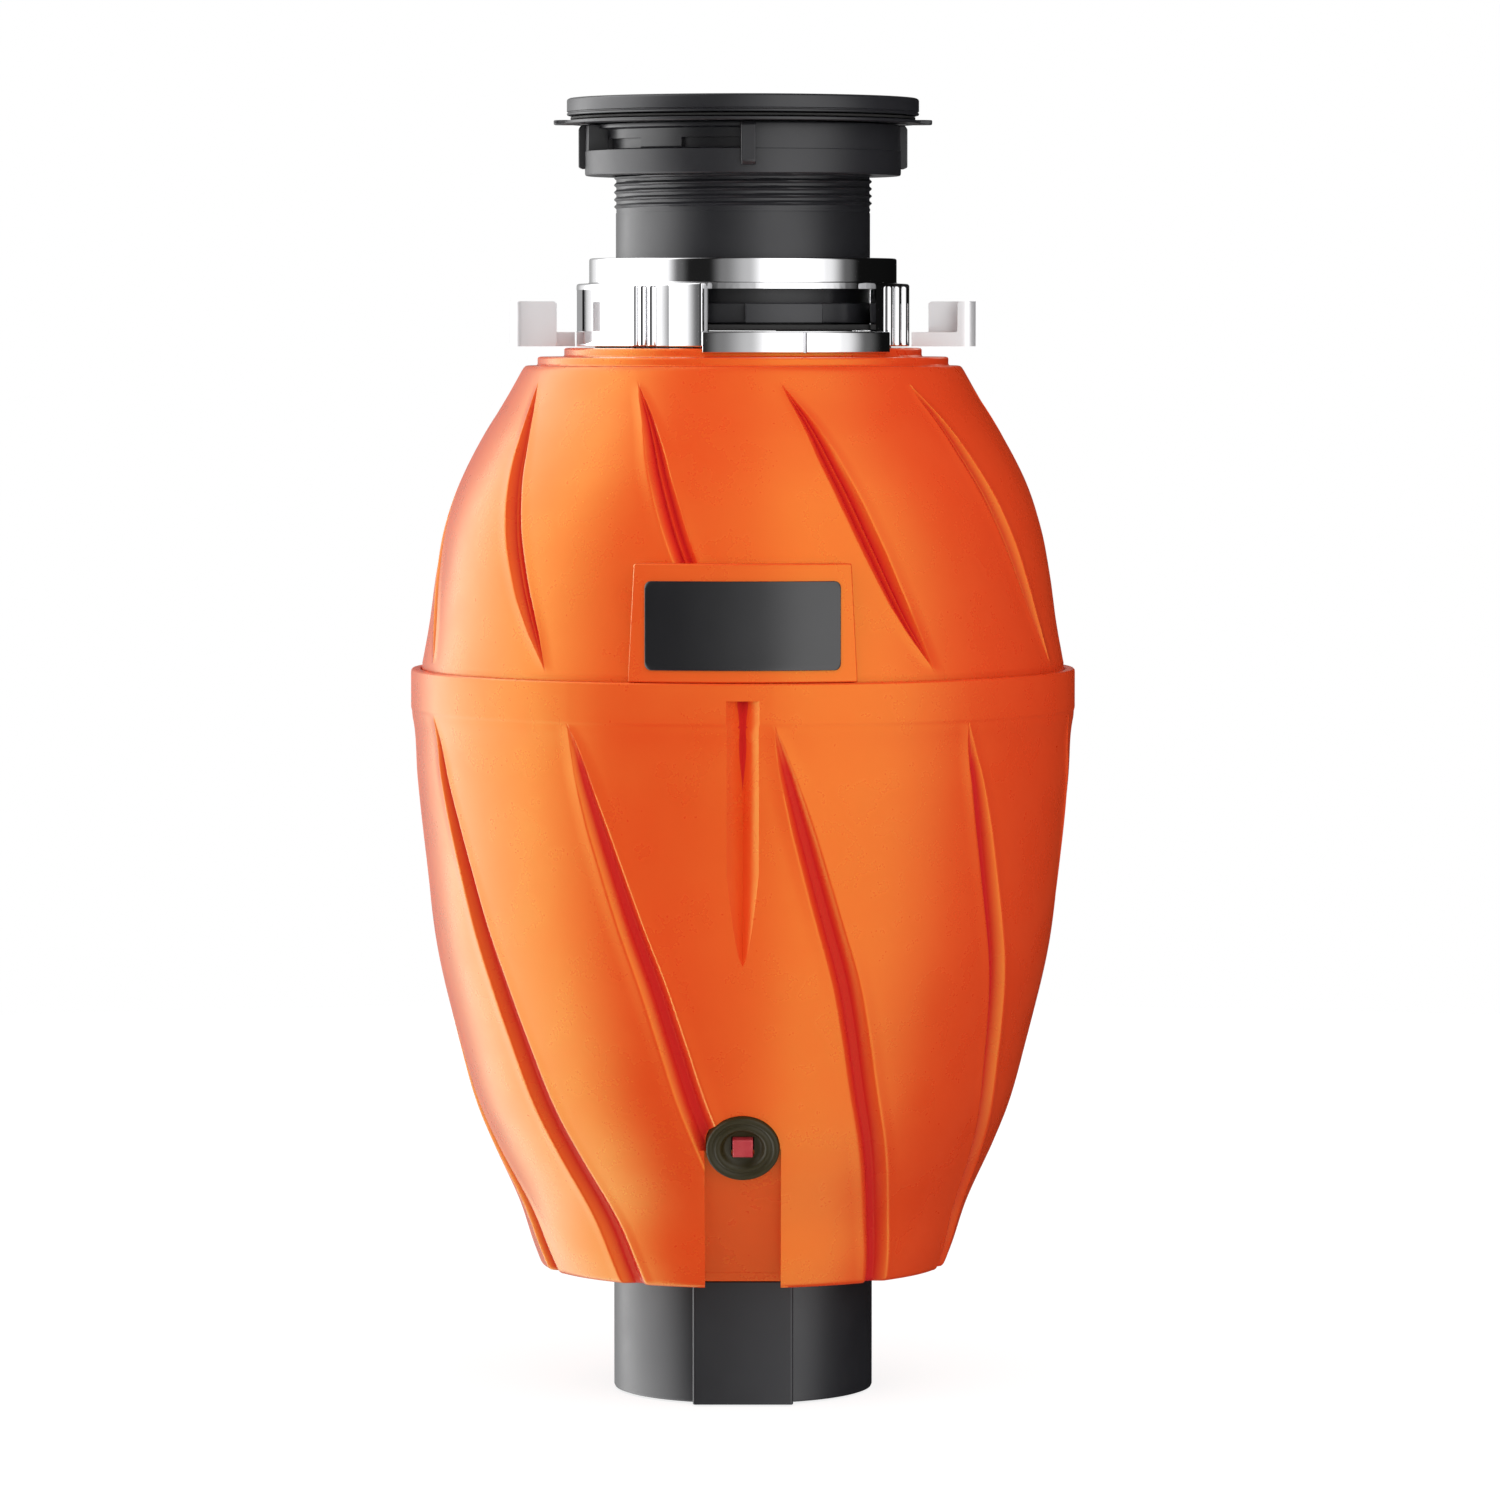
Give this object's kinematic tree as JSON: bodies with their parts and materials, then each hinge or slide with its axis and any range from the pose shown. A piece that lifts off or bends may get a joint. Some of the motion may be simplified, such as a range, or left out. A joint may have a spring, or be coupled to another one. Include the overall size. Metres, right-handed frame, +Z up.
{
  "type": "kitchen garbage disposal",
  "caption": "Food waste disposer with a ribbed barrel housing, bright twist-lock ring, threaded sink sleeve, rear discharge outlet and a motor-driven grinding disc.",
  "frame": {"origin": "on the motor axis at the underside of the base cup, the centre of the bounding box's bottom", "axes": "+Z up along the motor axis to the sink rim; -Y is the front with the name plate and reset button; the discharge outlet leaves to +Y"},
  "size_m": [0.2122, 0.2122, 0.4122],
  "materials": {
    "orange_plastic": "satin moulded, orange",
    "black_plastic": "satin moulded, black",
    "gloss_black": "polished black plate, blank",
    "bezel_plastic": "dark olive black",
    "red_plastic": "satin red",
    "pale_plastic": "glass filled, light grey",
    "rubber_black": "matt black",
    "chrome_metal": "bright plated",
    "stainless": "machined",
    "steel_sheet": "drawn sheet",
    "cast_metal": "die cast",
    "bronze": "sintered",
    "copper_wire": "enamelled copper",
    "laminated_steel": "stacked laminations",
    "foam": "moulded foam"
  },
  "bodies": {
    "root": {"housing_lower": "orange_plastic", "housing_upper": "orange_plastic", "name_plate": "gloss_black", "base_cup": "black_plastic", "threaded_sleeve": "black_plastic", "bayonet_collar": "black_plastic", "overload_protector": "black_plastic", "start_relay": "black_plastic", "cord_gland": "black_plastic", "reset_bezel": "bezel_plastic", "hopper": "pale_plastic", "dishwasher_plug": "pale_plastic", "outlet_grommet": "rubber_black", "chamber_gasket": "rubber_black", "mount_gasket": "rubber_black", "shaft_seal": "rubber_black", "shredder_ring": "stainless", "clamp_band": "stainless", "thrust_washer": "stainless", "motor_shell": "steel_sheet", "capacitor": "steel_sheet", "capacitor_clamp": "steel_sheet", "base_screw_1": "steel_sheet", "base_screw_2": "steel_sheet", "base_screw_3": "steel_sheet", "through_bolt_1": "steel_sheet", "through_bolt_2": "steel_sheet", "through_bolt_3": "steel_sheet", "through_bolt_4": "steel_sheet", "drain_housing": "cast_metal", "lower_end_bell": "cast_metal", "upper_bearing": "bronze", "lower_bearing": "bronze", "stator_winding": "copper_wire", "stator_core": "laminated_steel", "insulation_upper": "foam"},
    "rotor": {"motor_shaft": "stainless", "rotor_core": "laminated_steel", "rotor_end_ring_upper": "cast_metal", "rotor_end_ring_lower": "cast_metal", "wrench_socket": "stainless", "grinding_disc": "stainless", "disc_nut": "stainless", "impeller_pin_a": "stainless", "impeller_pin_b": "stainless"},
    "impeller_a": {"impeller_a": "stainless"},
    "impeller_b": {"impeller_b": "stainless"},
    "lock": {"lock_ring": "chrome_metal", "lock_lug_left": "chrome_metal", "lock_lug_right": "chrome_metal"},
    "clamp": {"backup_ring": "black_plastic", "flange_gasket": "rubber_black"},
    "nut": {"mounting_nut": "black_plastic"},
    "guard": {"splash_guard": "rubber_black"},
    "button": {"reset_button": "red_plastic"}
  },
  "joints": [
    {"name": "rotor_spin", "type": "hinge", "parent": "root", "child": "rotor", "pos_m": [0, 0, 0.259], "axis": [0, 0, 1], "continuous": true},
    {"name": "impeller_a_swivel", "type": "hinge", "parent": "rotor", "child": "impeller_a", "pos_m": [0.038, 0, 0.264], "axis": [0, 0, 1], "continuous": true},
    {"name": "impeller_b_swivel", "type": "hinge", "parent": "rotor", "child": "impeller_b", "pos_m": [-0.038, 0, 0.264], "axis": [0, 0, 1], "continuous": true},
    {"name": "lock_ring_turn", "type": "hinge", "parent": "root", "child": "lock", "pos_m": [0, 0, 0.343], "axis": [0, 0, 1], "range_deg": [-30, 0]},
    {"name": "clamp_slide", "type": "slide", "parent": "root", "child": "clamp", "axis": [0, 0, 1], "range_m": [-0.0093, 0]},
    {"name": "nut_spin", "type": "hinge", "parent": "clamp", "child": "nut", "pos_m": [0, 0, 0.395], "axis": [0, 0, 1], "range_deg": [-1440, 0]},
    {"name": "splash_guard_lift", "type": "slide", "parent": "root", "child": "guard", "axis": [0, 0, 1], "range_m": [0, 0.045]},
    {"name": "reset_button_press", "type": "slide", "parent": "root", "child": "button", "axis": [0, 0.891, 0.454], "range_m": [0, 0.0025], "stiffness_N_per_m": 200}
  ],
  "couplings": [
    {"joint": "clamp_slide", "follows": "nut_spin", "m_per_rad": 0.00036606}
  ]
}
